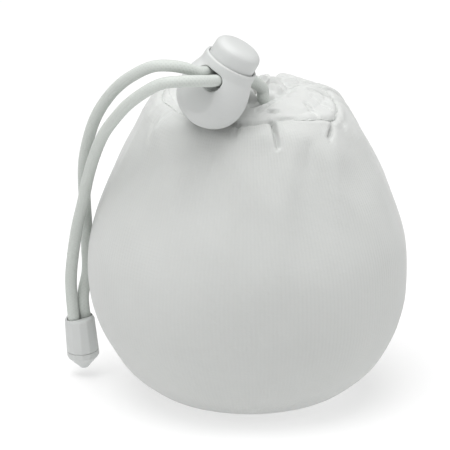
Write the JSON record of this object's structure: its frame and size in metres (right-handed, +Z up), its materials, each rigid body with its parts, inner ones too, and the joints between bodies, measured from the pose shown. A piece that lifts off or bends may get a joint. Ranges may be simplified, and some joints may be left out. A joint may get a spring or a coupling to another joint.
{
  "type": "herbal compress ball",
  "caption": "Refillable drawstring pouch ball of ribbed white cotton, closed by an elastic cord with a spring cord lock and a faceted cord end.",
  "frame": {"origin": "middle of the flat base that the ball rests on", "axes": "+Z up through the mouth, front towards -Y, the cord tails hang at -X"},
  "size_m": [0.0856, 0.0794, 0.1008],
  "materials": {
    "ribbed_cotton": "soft white cotton with fine upright ribs",
    "smooth_cotton": "smoother white cotton",
    "white_thread": "white sewing thread",
    "round_elastic": "braided white covering over rubber",
    "white_plastic": "satin moulded white",
    "spring_steel": "bright drawn wire",
    "dried_herbs": "loose dried herbs"
  },
  "bodies": {
    "pouch": {"pouch_body": "ribbed_cotton", "casing_band": "smooth_cotton", "hem_stitching": "white_thread", "filling": "dried_herbs", "drawcord_loop": "round_elastic", "cord_tail_front": "round_elastic", "cord_tail_rear": "round_elastic", "cord_knot": "round_elastic", "cord_end_shell": "white_plastic", "cord_end_cap": "white_plastic"},
    "lock": {"lock_barrel": "white_plastic", "lock_spring": "spring_steel"},
    "plunger": {"lock_plunger": "white_plastic"}
  },
  "joints": [
    {"name": "lock_slide", "type": "slide", "parent": "pouch", "child": "lock", "axis": [-0.485, -0.8336, 0.2643], "range_m": [0, 0.0035]},
    {"name": "plunger_press", "type": "slide", "parent": "lock", "child": "plunger", "axis": [-0.493, 0.011, -0.87], "range_m": [0, 0.002], "stiffness_N_per_m": 1200, "springref_m": -0.003, "deforming": ["lock_spring"]}
  ]
}
